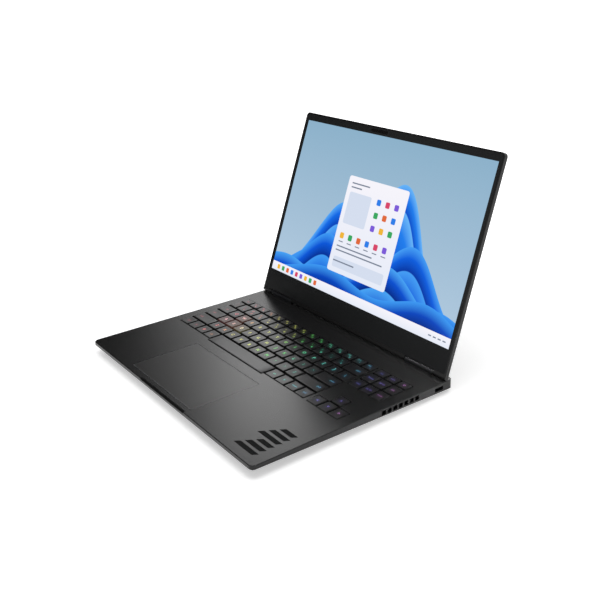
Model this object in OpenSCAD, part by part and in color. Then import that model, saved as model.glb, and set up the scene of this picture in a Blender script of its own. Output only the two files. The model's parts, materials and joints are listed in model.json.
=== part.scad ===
// Laptop computer with a wedge-shaped base, a full keyboard and a lid on two hinge knuckles.
// X runs along the hinge, Y runs from the front edge to the back, Z is up. The origin is on the desk,
// under the middle of the open laptop. Every module works in a frame whose Y starts at the front edge.

/* [Base] */
// Width of the deck left of the keyboard
left_margin = 14.05; // [13.5:0.05:20]
// Width of the deck right of the navigation block
right_margin = 13.75; // [11:0.05:20]
// Depth of the palm rest, from the front edge to the bottom row's slots
palm_d = 113.2; // [102:0.1:125]
// Depth of the deck behind the keyboard
shelf_d = 47; // [46:0.1:54]
// Height of the base without its feet
base_h = 13.9; // [13:0.1:15.5]
// Radius of the base's corners in plan
corner_r = 6; // [4:0.5:9]
// Height of the side wall at the front edge
front_wall_h = 4.3; // [4:0.1:5]
// Height of the side wall at the rear edge
rear_wall_h = 10.8; // [10.4:0.1:11.2]
// Rise of the underside towards the front edge, in degrees
front_slope = 13.5; // [12:0.5:16]
// Rise of the underside towards the sides, in degrees
side_slope = 20; // [18:1:26]
// Wall thickness of the top case and the bottom cover
shell_t = 1.2; // [1:0.1:1.4]
// Chamfer round the deck and the lid
edge_chamfer = 0.6; // [0.3:0.1:0.8]
// Height of the rubber feet
foot_h = 1.6; // [1.2:0.1:2.5]
// Width of the rubber feet
foot_w = 10; // [8:0.5:12]
// Length of the finger notch in the front edge
notch_w = 98; // [60:1:120]
// Depth of the finger notch, front to back
notch_d = 3; // [2:0.1:3.6]
// Depth of the finger notch, downwards
notch_h = 1.6; // [1:0.1:2]

/* [Lid] */
// Angle between deck and lid at rest
lid_open = 109.5; // [95:0.5:130]
// Thickness of the lid
lid_t = 5.6; // [5.4:0.1:6.2]
// Gap between lid and deck when closed
lid_gap = 0.4; // [0.3:0.1:0.6]
// Setback of the closed lid's edge from the front edge of the base
lid_setback = 2; // [0.5:0.1:4]
// Distance from the hinge axis to the rear edge of the base
hinge_setback = 10.3; // [9.5:0.1:11]
// Radius of the lid's top corners
lid_corner_r = 5; // [4:0.5:8]
// Width of the lid cover's rim round the bezel
lid_rim = 2; // [1.6:0.1:2.4]
// Outer skin of the lid cover
lid_skin = 1.2; // [1:0.1:1.3]
// Width of the bezel at each side of the picture
side_bezel_w = 6.3; // [6:0.1:12]
// Width of the bezel above the picture
top_bezel_w = 10.7; // [10.2:0.1:16]
// Distance from the hinge axis to the picture's lower edge
screen_foot = 31.3; // [30:0.1:40]
// Thickness of the bezel
bezel_t = 1; // [0.8:0.1:1.2]
// Place of the camera window along the top bezel
camera_x = -25; // [-40:1:40]
// Length of the camera window
camera_w = 31; // [10:1:40]

/* [Hinges] */
// Distance of each hinge knuckle's middle from the side of the base
knuckle_inset = 45.15; // [40:0.05:55]
// Length of each hinge knuckle
knuckle_l = 41; // [36:0.5:44]
// Radius of the hinge pin
pin_r = 1.5; // [1.2:0.1:1.7]
// Radial clearance of the pin in its knuckle
pin_fit = 0.03; // [0.02:0.01:0.05]
// Length of the hinge arm's eye beside the knuckle
eye_l = 4.6; // [4:0.1:6]

/* [Keyboard] */
// Distance between neighbouring letter keys
key_pitch = 18.85; // [17:0.05:20]
// Distance between key rows
row_pitch = 19.16; // [17.5:0.02:20]
// Depth of the function row's slots
top_row_d = 13.7; // [12:0.1:18]
// Slot width of the key before the digits
grave_w = 15; // [13:0.1:19]
// Slot width of the tab key
tab_w = 24.2; // [20:0.1:28]
// Slot width of the caps lock key
caps_w = 29.2; // [26:0.1:33]
// Slot width of the left shift key
shift_w = 38.2; // [34:0.1:43]
// Slot width of the backspace key
backspace_w = 30.9; // [27:0.1:38]
// Slot width of the keys beside the space bar
modifier_w = 19; // [17:0.1:21]
// Gap between neighbouring cap tops
key_gap = 3; // [2.8:0.1:3.6]
// Height of a cap
key_h = 2.5; // [2.2:0.1:2.8]
// How far a cap stands above the deck
key_proud = 0.6; // [0.4:0.1:0.7]
// Travel of a key
key_travel = 1.5; // [1.2:0.1:1.8]
// Distance between the columns of the navigation block
nav_pitch = 18; // [16:0.1:20]
// Web between the main block and the navigation block
nav_web = 3.4; // [3:0.1:8]
// Extra depth of the space bar towards the front
space_lip = 3.2; // [2.5:0.1:3.6]
// Clearance between a cap's skirt and the edge of its well
well_fit = 0.6; // [0.5:0.1:0.8]
// Thickness of the keyboard plate
plate_t = 0.8; // [0.6:0.1:1]

/* [Touchpad] */
// Width of the touchpad
pad_w = 136.4; // [100:0.1:150]
// Depth of the touchpad
pad_d = 86.4; // [75:0.1:88]
// Offset of the touchpad's left edge from the space bar's slot
pad_offset = 2.2; // [-5:0.1:10]
// Distance from the front edge to the touchpad
pad_y = 9; // [8:0.1:11]
// Thickness of the touchpad
pad_t = 1.8; // [1.5:0.1:2]
// Gap round the touchpad
pad_gap = 0.35; // [0.3:0.05:0.5]

/* [Sockets and vents] */
// Number of vent slots in the right wall
vent_count = 7; // [3:1:8]
// Distance from the rear edge to the first vent slot
vent_setback = 106.8; // [100:0.1:112]
// Distance between vent slots
vent_pitch = 8; // [7.5:0.1:8.2]
// Width of a vent slot
vent_w = 5.8; // [5:0.1:6]
// Height of a vent slot
vent_h = 5.4; // [4.6:0.1:5.6]
// Depth of the vent slots' upper edge below the deck
vent_drop = 1.9; // [1.7:0.1:2.2]
// Distance from the rear edge to the right USB socket's middle
usb_setback = 22.3; // [20:0.1:30]
// Opening width of a wide USB socket
usb_w = 12.6; // [12.2:0.1:13]
// Opening height of a wide USB socket
usb_h = 4.5; // [4.4:0.1:4.9]
// Depth of the right socket's middle below the deck
socket_drop = 5.8; // [5.5:0.1:6]
// Depth of the left sockets' middles below the deck
left_drop = 5.4; // [5.2:0.1:5.5]
// Depth of the small USB sockets' middles below the deck
small_drop = 5; // [4.6:0.1:5]
// Depth of the sockets
socket_l = 11.5; // [10:0.5:12]
// Radius of the audio jack's bore
jack_r = 1.8; // [1.7:0.05:1.9]

/* [Fans] */
// Distance of each fan's axis from the side of the base
fan_inset = 73.65; // [68:0.05:76]
// Distance of the fans' axes from the rear edge
fan_setback = 57.7; // [56:0.1:60]
// Side of the fan housing
fan_side = 60; // [50:1:62]
// Radius of the fan's hub
hub_r = 12; // [8:0.5:14]
// Number of fan blades
blade_count = 31; // [17:2:37]
// Radius of the fan's shaft
shaft_r = 1; // [0.8:0.1:1.5]
// Radial clearance of the fan's shaft
shaft_fit = 0.04; // [0.02:0.01:0.08]

/* [Hidden] */

big = 500;
block_w = grave_w + 12 * key_pitch + backspace_w;
base_w = left_margin + block_w + nav_web + 3 * nav_pitch + right_margin;
base_d = palm_d + 5 * row_pitch + top_row_d + shelf_d;
deck_z = foot_h + base_h;
floor_z = foot_h + shell_t;
deck_under = deck_z - shell_t;
wall_fall = atan((rear_wall_h - front_wall_h) / base_d);
front_flat_y = (base_h - front_wall_h) / tan(front_slope);
axis_y = base_d - hinge_setback;
axis_z = deck_z + lid_gap + lid_t / 2;
lid_lean = 180 - lid_open;
lid_half = lid_t / 2;
lid_reach = axis_y - lid_setback;
screen_w = base_w - 2 * side_bezel_w;
screen_h = lid_reach - screen_foot - top_bezel_w;
knuckle_x = base_w / 2 - knuckle_inset;
middle_y = (axis_y + (lid_reach - edge_chamfer) * cos(lid_lean) + lid_half * sin(lid_lean)) / 2;
sides = [-1, 1];

// heights of the keyboard
cap_top = deck_z + key_proud;
cap_foot = cap_top - key_h;
plate_top = cap_foot - key_travel - 0.2;
plate_z = plate_top - plate_t;
stem_r = 2.2;
stem_fit = 0.3;
stem_sink = 0.5;
cap_wall = 1.1;
cap_step = 0.3;
plate_rim = 0.6;

// slots of the main block
left_x = left_margin - base_w / 2;
right_x = left_x + block_w;
row_y = [for (row = [0:5]) palm_d + row * row_pitch];
top_y = row_y[5] + top_row_d;
space_x0 = left_x + 4 * modifier_w;
space_x1 = right_x - 4 * modifier_w;
fn_pitch = block_w / 15;
pad_x = space_x0 + pad_offset + pad_w / 2;
nav_x = right_x + nav_web;
arrow_trim = 2;

// heights of the inner parts
pipe_z = floor_z + 0.3;
pipe_t = 2.2;
spreader_t = 1;
chip_t = 1.2;
board_t = 1;
board_z = pipe_z + pipe_t + spreader_t + chip_t;
socket_z = deck_z - socket_drop;
left_socket_z = deck_z - left_drop;
small_socket_z = deck_z - small_drop;
socket_wall = 0.5;
video_w = 14.6;
video_h = 5;
side_board_top = socket_z - video_h / 2 - socket_wall;
side_board_z = side_board_top - board_t;
board_inset = 8;
board_w = 19;
main_x0 = board_inset + board_w + 2.4 - base_w / 2 + shell_t;
main_x1 = base_w / 2 - shell_t - board_inset - board_w - 4.4;
fan_z = floor_z + 0.3;
fan_h = 6.4;
fan_plate_t = 0.6;
fan_x = base_w / 2 - fan_inset;
fan_y = base_d - fan_setback;
blade_r = fan_side / 2 - 3.5;
fin_z = pipe_z + pipe_t + 0.1;
fin_h = 5;
pipe_w = 8;
pipe_x = fan_x - fan_side / 2 - 5.5;
pipe_y = base_d - 15.7;
chip_y = top_y - 15.7;
board_neck = pipe_x - 19.5;
inner_x = base_w / 2 - shell_t;
rear_inner_y = base_d - shell_t;
speaker_half = 19;
speaker_x = base_w / 2 - 47.65;
speaker_y = palm_d - 40.2;
battery_half = speaker_x - speaker_half - 16.1;
battery_h = 6;

// cover screws
screw_r = 1.1;
head_r = 2.3;
head_h = 0.7;
boss_r = 3;
screw_front_y = front_flat_y + 8;
screw_middle_y = palm_d - 9.2;
screw_rear_y = top_y + 6.8;
screw_places = [for (s = sides) each [
    [s * (base_w / 2 - 74.65), screw_front_y], [s * (base_w / 2 - 28.65), screw_middle_y],
    [s * (pipe_x - pipe_w / 2 - boss_r - 4.5), screw_rear_y], [s * (fan_x + fan_side / 2 + 8), screw_rear_y]
]];

// middles of the sockets and vents, from the front edge
usb_y = base_d - usb_setback;
vent_y = base_d - vent_setback;
power_y = base_d - 19.7;
video_y = base_d - 39.7;
left_usb_y = base_d - 58.7;
audio_y = base_d - 74.7;
small_usb_y = [base_d - 88.7, base_d - 102.7];
small_usb_w = 9;
small_usb_h = 3.2;
power_r = 2.4;

$fn = 48;

module in_place() {
    translate([0, -middle_y, 0]) children();
}

// From the lid's own frame, where X runs along the hinge axis, Y up the lid and Z out of the picture side
module on_lid() {
    in_place() translate([0, axis_y, axis_z]) rotate([lid_lean, 0, 0]) children();
}

module span(x0, y0, z0, x1, y1, z1) {
    translate([x0, y0, z0]) cube([x1 - x0, y1 - y0, z1 - z0]);
}

// A rod along X between two places
module rod_x(r, x0, x1, y, z) {
    translate([x0, y, z]) rotate([0, 90, 0]) cylinder(r = r, h = x1 - x0);
}

// A rounded rectangle from two corners
module round_rect(x0, y0, x1, y1, r) {
    translate([x0 + r, y0]) square([x1 - x0 - 2 * r, y1 - y0]);
    translate([x0, y0 + r]) square([x1 - x0, y1 - y0 - 2 * r]);
    for (x = [x0 + r, x1 - r], y = [y0 + r, y1 - r]) translate([x, y]) circle(r);
}

// A plate with round corners whose edges are chamfered by c at the bottom, the top or both
module chamfered_plate(x0, y0, x1, y1, z0, z1, r, c0, c1) {
    translate([x0 + r, 0, 0]) rotate([90, 0, 90]) linear_extrude(x1 - x0 - 2 * r)
        polygon([[y0 + c0, z0], [y1 - c0, z0], [y1, z0 + c0], [y1, z1 - c1],
                 [y1 - c1, z1], [y0 + c1, z1], [y0, z1 - c1], [y0, z0 + c0]]);
    translate([0, y1 - r, 0]) rotate([90, 0, 0]) linear_extrude(y1 - y0 - 2 * r)
        polygon([[x0 + c0, z0], [x1 - c0, z0], [x1, z0 + c0], [x1, z1 - c1],
                 [x1 - c1, z1], [x0 + c1, z1], [x0, z1 - c1], [x0, z0 + c0]]);
    for (x = [x0 + r, x1 - r], y = [y0 + r, y1 - r]) translate([x, y, 0]) rotate_extrude()
        polygon([[0, z0], [r - c0, z0], [r, z0 + c0], [r, z1 - c1], [r - c1, z1], [0, z1]]);
}

// ---------------------------------------------------------------- base

// The half-space under a plane that rises from a wall's lower edge
module under_slope(depth) {
    translate([-big, -big, -big - depth]) cube([2 * big, 2 * big, big]);
}

// The solid wedge of the base, drawn in by "inset" on every face but chamfered only on the outside
module base_form(inset) {
    half_w = base_w / 2 - inset;
    chamfer = inset > 0 ? 0 : edge_chamfer;
    difference() {
        chamfered_plate(-half_w, inset, half_w, base_d - inset, foot_h + inset, deck_z - inset,
                        corner_r - inset, 0, chamfer);
        translate([0, 0, deck_z - front_wall_h]) rotate([-front_slope, 0, 0]) under_slope(-inset);
        translate([0, base_d, deck_z - rear_wall_h]) rotate([side_slope, 0, 0]) under_slope(-inset);
        for (s = sides) translate([s * base_w / 2, 0, deck_z - front_wall_h])
            rotate([-wall_fall, 0, 0]) rotate([0, -s * side_slope, 0]) under_slope(-inset);
    }
}

// Everything above the seam between the top case and the bottom cover
module above_seam() {
    translate([0, 0, deck_z - front_wall_h]) rotate([-wall_fall, 0, 0])
        translate([-big, -big, 0]) cube([2 * big, 2 * big, big]);
}

module below_seam() {
    translate([0, 0, deck_z - front_wall_h]) rotate([-wall_fall, 0, 0]) under_slope(0);
}

// Outline of the keyboard wells, grown by "grow" round the caps' skirts
module well_outline(grow) {
    edge = key_gap / 2 - cap_step - well_fit - grow;
    translate([left_x + edge, row_y[0] + edge]) square([block_w - 2 * edge, top_y - row_y[0] - 2 * edge]);
    translate([space_x0 + edge, row_y[0] - space_lip + edge])
        square([space_x1 - space_x0 - 2 * edge, row_pitch]);
    translate([nav_x + edge, row_y[3] + edge]) square([3 * nav_pitch - 2 * edge, top_y - row_y[3] - 2 * edge]);
    translate([nav_x + edge, row_y[0] + edge]) square([3 * nav_pitch - 2 * edge, row_pitch - 2 * edge]);
    translate([nav_x + nav_pitch + edge, row_y[0] + edge])
        square([nav_pitch - 2 * edge, 2 * row_pitch - arrow_trim - 2 * edge]);
}

module vent_slots() {
    for (i = [0:vent_count - 1])
        span(inner_x - 1, vent_y + i * vent_pitch, deck_z - vent_drop - vent_h,
             big, vent_y + i * vent_pitch + vent_w, deck_z - vent_drop);
}

module exhaust_slots() {
    slot_pitch = 6;
    for (s = sides, i = [-4:4])
        translate([s * fan_x + i * slot_pitch - 2, rear_inner_y - 1, deck_z - 9.2]) cube([4, 4, 4.6]);
}

// A hole through one side wall, "side" is -1 for the left and 1 for the right
module wall_hole(side, y, z, w, h) {
    translate([side * base_w / 2, y, z]) cube([6 * shell_t, w, h], center = true);
}

module socket_holes() {
    wall_hole(1, usb_y, socket_z, usb_w, usb_h);
    wall_hole(-1, left_usb_y, left_socket_z, usb_w, usb_h);
    wall_hole(-1, video_y, left_socket_z, video_w, video_h);
    for (y = small_usb_y) wall_hole(-1, y, small_socket_z, small_usb_w, small_usb_h);
    rod_x(jack_r, -base_w / 2 - 1, -inner_x + 1, audio_y, left_socket_z);
    rod_x(power_r + 0.2, -base_w / 2 - 1, -inner_x + 1, power_y, left_socket_z);
}

// The scoop that a finger opens the lid with
module finger_notch() {
    chord = norm([notch_d, notch_h]);
    scoop_r = 8;
    lift = sqrt(scoop_r * scoop_r - chord * chord / 4);
    rod_x(scoop_r, -notch_w / 2, notch_w / 2,
          notch_d / 2 - lift * notch_h / chord, deck_z - notch_h / 2 + lift * notch_d / chord);
}

module hinge_slots(fit) {
    for (s = sides)
        span(s * knuckle_x - knuckle_l / 2 - fit, axis_y - lid_half - fit, deck_under - 1,
             s * knuckle_x + knuckle_l / 2 + fit, axis_y + lid_half + fit, deck_z + 1);
}

module top_case() {
    skirt_t = 1;
    rib_d = 5;
    color("#3b3c3e") in_place() difference() {
        union() {
            intersection() {
                difference() {
                    base_form(0);
                    base_form(shell_t);
                }
                above_seam();
            }
            translate([0, 0, plate_top]) linear_extrude(deck_z - plate_top - shell_t / 2) well_outline(skirt_t);
            span(-notch_w / 2 - rib_d, shell_t / 2, deck_under - 3, notch_w / 2 + rib_d, shell_t + rib_d,
                 deck_under + shell_t / 2);
            for (place = screw_places) translate([place[0], place[1], floor_z])
                cylinder(r = boss_r, h = deck_under - floor_z + shell_t / 2);
        }
        translate([0, 0, plate_top - 1]) linear_extrude(big) well_outline(0);
        translate([0, 0, deck_under - 1]) linear_extrude(big)
            round_rect(pad_x - pad_w / 2 - pad_gap, pad_y - pad_gap,
                       pad_x + pad_w / 2 + pad_gap, pad_y + pad_d + pad_gap, 2);
        for (place = screw_places) translate([place[0], place[1], floor_z - 1])
            cylinder(r = screw_r + 0.05, h = deck_under - floor_z);
        vent_slots();
        exhaust_slots();
        socket_holes();
        finger_notch();
        hinge_slots(0.1);
    }
}

// A row of slots through the floor of the bottom cover, one behind the other about a place
module floor_slots(place, count, pitch, slot_l, slot_w) {
    for (i = [0:count - 1])
        translate([place[0] - slot_l / 2, place[1] + (i - (count - 1) / 2) * pitch - slot_w / 2, foot_h - 1])
            linear_extrude(shell_t + 2) round_rect(0, 0, slot_l, slot_w, slot_w / 2 - 0.1);
}

module bottom_cover() {
    color("#2b2c2e") in_place() difference() {
        union() {
            intersection() {
                difference() {
                    base_form(0);
                    base_form(shell_t);
                }
                below_seam();
            }
            for (place = [[-1, power_y], [-1, small_usb_y[1]], [1, usb_y]])
                translate([place[0] * (base_w / 2 - 20), place[1], floor_z])
                    cylinder(r = boss_r, h = side_board_z - floor_z);
        }
        for (s = sides) {
            floor_slots([s * fan_x, fan_y], 11, 4.2, 40, 2);
            floor_slots([s * speaker_x, speaker_y], 6, 3.4, 26, 1.6);
        }
        for (place = screw_places) translate([place[0], place[1], foot_h]) {
            translate([0, 0, -1]) cylinder(r = screw_r + 0.2, h = shell_t + 2);
            translate([0, 0, -1]) cylinder(r = head_r + 0.1, h = head_h + 1);
        }
    }
}

module foot(y, length) {
    color("#161616") in_place() linear_extrude(foot_h)
        round_rect(-length / 2, y - foot_w / 2, length / 2, y + foot_w / 2, foot_w / 2 - 0.01);
}

module front_foot() {
    foot(front_flat_y + 22, base_w - 127.3);
}

module rear_foot() {
    foot(base_d - 18.7, base_w - 67.3);
}

module cover_screws() {
    color("#5a5a5c") in_place() for (place = screw_places) translate([place[0], place[1], foot_h]) difference() {
        union() {
            cylinder(r = head_r, h = head_h);
            cylinder(r = screw_r, h = 8);
        }
        translate([0, 0, -1]) cylinder(r = 0.9, h = 1.4);
    }
}

// ---------------------------------------------------------------- keyboard

// A slot is [x0, y0, x1, y1]; neighbouring slots share an edge
function unit_slot(x, row, count) = [x + count * key_pitch, row_y[row], x + (count + 1) * key_pitch, row_y[row + 1]];
function row_slot(x0, x1, row) = [x0, row_y[row], x1, row_y[row + 1]];
function fn_slot(count) = [left_x + count * fn_pitch, row_y[5], left_x + (count + 1) * fn_pitch, top_y];
function nav_slot(column, y0, y1) = [nav_x + column * nav_pitch, y0, nav_x + (column + 1) * nav_pitch, y1];

grave_slot = row_slot(left_x, left_x + grave_w, 4);
backspace_slot = row_slot(left_x + grave_w + 12 * key_pitch, right_x, 4);
tab_slot = row_slot(left_x, left_x + tab_w, 3);
backslash_slot = row_slot(left_x + tab_w + 12 * key_pitch, right_x, 3);
caps_slot = row_slot(left_x, left_x + caps_w, 2);
enter_slot = row_slot(left_x + caps_w + 11 * key_pitch, right_x, 2);
left_shift_slot = row_slot(left_x, left_x + shift_w, 1);
right_shift_slot = row_slot(left_x + shift_w + 10 * key_pitch, right_x, 1);
space_slot = [space_x0, row_y[0] - space_lip, space_x1, row_y[1]];

number_slots = [grave_slot, for (i = [0:11]) unit_slot(left_x + grave_w, 4, i)];
upper_slots = [for (i = [0:11]) unit_slot(left_x + tab_w, 3, i), backslash_slot];
home_slots = [for (i = [0:10]) unit_slot(left_x + caps_w, 2, i)];
lower_slots = [for (i = [0:9]) unit_slot(left_x + shift_w, 1, i)];
left_modifier_slots = [for (i = [0:3]) row_slot(left_x + i * modifier_w, left_x + (i + 1) * modifier_w, 0)];
right_modifier_slots = [for (i = [0:3]) row_slot(space_x1 + i * modifier_w, space_x1 + (i + 1) * modifier_w, 0)];
function_slots = [for (i = [1:14]) fn_slot(i)];
nav_slots = [
    nav_slot(0, row_y[5], top_y), nav_slot(1, row_y[5], top_y),
    for (row = [3, 4], column = [0:2]) nav_slot(column, row_y[row], row_y[row + 1])
];
power_slot = nav_slot(2, row_y[5], top_y);
up_slot = nav_slot(1, row_y[1], row_y[2] - arrow_trim);
left_slot = nav_slot(0, row_y[0], row_y[1]);
down_slot = nav_slot(1, row_y[0], row_y[1]);
right_slot = nav_slot(2, row_y[0], row_y[1]);

all_slots = [
    each number_slots, each upper_slots, each home_slots, each lower_slots, each left_modifier_slots,
    each right_modifier_slots, each function_slots, each nav_slots, fn_slot(0), power_slot, backspace_slot,
    tab_slot, caps_slot, enter_slot, left_shift_slot, right_shift_slot, space_slot, up_slot, left_slot,
    down_slot, right_slot
];

function slot_middle(slot) = [(slot[0] + slot[2]) / 2, (slot[1] + slot[3]) / 2];

// A hollow cap with a stepped top and a stem that runs in a hole of the keyboard plate
module key_cap(slot) {
    edge = key_gap / 2;
    skirt = edge - cap_step;
    middle = slot_middle(slot);
    color("#3f4042") {
        difference() {
            union() {
                translate([0, 0, cap_foot]) linear_extrude(key_h - cap_step)
                    round_rect(slot[0] + skirt, slot[1] + skirt, slot[2] - skirt, slot[3] - skirt, 1.2);
                translate([0, 0, cap_foot]) linear_extrude(key_h)
                    round_rect(slot[0] + edge, slot[1] + edge, slot[2] - edge, slot[3] - edge, 1);
            }
            span(slot[0] + edge + cap_wall, slot[1] + edge + cap_wall, cap_foot - 1,
                 slot[2] - edge - cap_wall, slot[3] - edge - cap_wall, cap_top - cap_wall);
        }
        translate([middle[0], middle[1], plate_top - stem_sink])
            cylinder(r = stem_r, h = cap_top - cap_wall - plate_top + stem_sink + 0.2);
    }
}

module keys(slots) {
    in_place() for (slot = slots) key_cap(slot);
}

module function_keys() { keys(function_slots); }
module number_keys() { keys(number_slots); }
module upper_letter_keys() { keys(upper_slots); }
module home_letter_keys() { keys(home_slots); }
module lower_letter_keys() { keys(lower_slots); }
module left_modifier_keys() { keys(left_modifier_slots); }
module right_modifier_keys() { keys(right_modifier_slots); }
module navigation_keys() { keys(nav_slots); }
module power_key() { keys([power_slot]); }
module backspace_key() { keys([backspace_slot]); }
module tab_key() { keys([tab_slot]); }
module caps_lock_key() { keys([caps_slot]); }
module enter_key() { keys([enter_slot]); }
module left_shift_key() { keys([left_shift_slot]); }
module right_shift_key() { keys([right_shift_slot]); }
module space_bar() { keys([space_slot]); }
module escape_key() { keys([fn_slot(0)]); }
module arrow_up_key() { keys([up_slot]); }
module arrow_down_key() { keys([down_slot]); }
module arrow_left_key() { keys([left_slot]); }
module arrow_right_key() { keys([right_slot]); }

// Steel plate under the keys, with a guide hole for each stem and posts that carry the main board
module keyboard_plate() {
    post_x = block_w / 3 - 1;
    post_places = [
        for (x = [0:3], row = [1, 3]) [left_x + 35 + x * post_x, row_y[row]], for (s = sides) [s * 30, row_y[5]]
    ];
    color("#101010") in_place() difference() {
        union() {
            span(left_x - plate_rim, row_y[0] - space_lip - plate_rim, plate_z,
                 nav_x + 3 * nav_pitch + plate_rim, top_y + plate_rim, plate_top);
            for (place = post_places) translate([place[0], place[1], board_z + board_t])
                cylinder(r = 2, h = plate_z - board_z - board_t + plate_t / 2);
        }
        for (slot = all_slots) translate([slot_middle(slot)[0], slot_middle(slot)[1], plate_z - 1])
            cylinder(r = stem_r + stem_fit, h = plate_t + 2, $fn = 24);
    }
}

// ---------------------------------------------------------------- touchpad

pad_z = deck_z - 0.1 - pad_t;
rod_r = 0.7;
rod_y = pad_y + pad_d - 3;
rod_z = pad_z - 0.3;

// A flat pad that tilts on a rod along its rear edge
module touchpad() {
    color("#3a3b3d") in_place() {
        translate([0, 0, pad_z]) linear_extrude(pad_t)
            round_rect(pad_x - pad_w / 2, pad_y, pad_x + pad_w / 2, pad_y + pad_d, 1.7);
        rod_x(rod_r, pad_x - pad_w / 2 + 6, pad_x + pad_w / 2 - 6, rod_y, rod_z);
    }
}

// Stamped tray under the touchpad, with ears for the pad's rod and the click switch
module touchpad_bracket() {
    tray_t = 0.8;
    tray_z = pad_z - 2.2;
    flange = 6;
    ear_l = 8;
    ear_w = 4;
    press_gap = 0.75;
    color("#6f7073") in_place() {
        span(pad_x - pad_w / 2 - flange, pad_y + 4, tray_z, pad_x + pad_w / 2 + flange, pad_y + pad_d - 1,
             tray_z + tray_t);
        for (s = sides) translate([pad_x + s * (pad_w / 2 + flange / 2 + 0.5), pad_y + pad_d / 2 + 1.5, 0])
            span(-flange / 2 + 0.5, -pad_d / 2 + 2.5, tray_z, flange / 2 - 0.5, pad_d / 2 - 2.5, deck_under);
        difference() {
            for (s = [-1:1]) translate([pad_x + s * pad_w * 0.37, rod_y, 0])
                span(-ear_l / 2, -ear_w / 2, tray_z, ear_l / 2, ear_w / 2, pad_z - 0.35);
            rod_x(rod_r + shaft_fit, pad_x - pad_w / 2, pad_x + pad_w / 2, rod_y, rod_z);
        }
        translate([pad_x, pad_y + 12, tray_z]) cylinder(r = 3, h = pad_z - press_gap - tray_z);
    }
}

// ---------------------------------------------------------------- inside the base

module circuit_boards() {
    color("#17402a") in_place() {
        span(main_x0, row_y[0] + 3, board_z, main_x1, row_y[3] + 7, board_z + board_t);
        span(-board_neck, row_y[3] + 6, board_z, board_neck, base_d - 27.7, board_z + board_t);
        span(-inner_x + board_inset, small_usb_y[1] - 7, side_board_z,
             -inner_x + board_inset + board_w, power_y + 6, side_board_top);
        span(inner_x - board_inset - board_w, usb_y - 9, side_board_z,
             inner_x - board_inset, usb_y + 9, side_board_top);
    }
}

module chip_packages() {
    chip_z = board_z - chip_t;
    color("#24262a") in_place() {
        span(-36, chip_y - 11, chip_z, -10, chip_y + 11, board_z);
        span(4, chip_y - 15, chip_z, 36, chip_y + 15, board_z);
    }
}

// A flat strip through a list of points, with round bends
module strip(points, w) {
    for (i = [0:len(points) - 2]) {
        a = points[i];
        b = points[i + 1];
        translate(a) rotate(atan2(b[1] - a[1], b[0] - a[0])) translate([0, -w / 2])
            square([norm(b - a), w]);
    }
    for (i = [1:len(points) - 2]) translate(points[i]) circle(w / 2);
}

// One flattened copper pipe from fin stack to fin stack, with the plate that spreads the chips' heat
module heat_pipe() {
    reach = fan_x + fan_side / 2 - 3;
    run = [[-reach, pipe_y], [-pipe_x, pipe_y], [-pipe_x, chip_y], [pipe_x, chip_y], [pipe_x, pipe_y], [reach, pipe_y]];
    color("#8a5a3a") in_place() {
        translate([0, 0, pipe_z]) linear_extrude(pipe_t) strip(run, pipe_w);
        span(-40, chip_y - 15, pipe_z + pipe_t - 0.2, 40, chip_y + 15, pipe_z + pipe_t + spreader_t);
    }
}

module fin_stack(side) {
    fin_t = 0.4;
    fin_pitch = 2;
    fins = floor((fan_side - 6) / fin_pitch);
    first_x = side * fan_x - (fins - 1) * fin_pitch / 2;
    front_y = fan_y + fan_side / 2 + 3;
    back_y = rear_inner_y - 2;
    color("#b08a68") in_place() {
        span(first_x, front_y, fin_z, first_x + (fins - 1) * fin_pitch + fin_t, back_y, fin_z + fin_t);
        for (i = [0:fins - 1])
            span(first_x + i * fin_pitch, front_y, fin_z, first_x + i * fin_pitch + fin_t, back_y, fin_z + fin_h);
    }
}

module left_fin_stack() { fin_stack(-1); }
module right_fin_stack() { fin_stack(1); }

// Flat box with a scroll-shaped chamber that opens to the rear, an inlet ring and a bushing on three spokes
module fan_housing(side) {
    inlet_r = blade_r - 6.5;
    chamber_r = blade_r + 1.3;
    disc_r = 9;
    half = fan_side / 2;
    color("#1d1e20") in_place() translate([side * fan_x, fan_y, fan_z]) {
        difference() {
            translate([-half, -half, 0]) cube([fan_side, fan_side, fan_h]);
            translate([0, 0, fan_plate_t]) cylinder(r = chamber_r, h = fan_h - 2 * fan_plate_t);
            translate([-chamber_r, 0, fan_plate_t]) cube([2 * chamber_r, big, fan_h - 2 * fan_plate_t]);
            translate([0, 0, -1]) cylinder(r = inlet_r, h = fan_plate_t + 2);
        }
        difference() {
            union() {
                cylinder(r = disc_r, h = fan_plate_t);
                cylinder(r = 3, h = 3.2);
                for (i = [0:2]) rotate([0, 0, 90 + i * 120]) translate([disc_r - 1, -1.5, 0])
                    cube([inlet_r - disc_r + 1.5, 3, fan_plate_t]);
            }
            translate([0, 0, fan_plate_t]) cylinder(r = shaft_r + shaft_fit, h = fan_h);
        }
    }
}

module left_fan_housing() { fan_housing(-1); }
module right_fan_housing() { fan_housing(1); }

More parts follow.
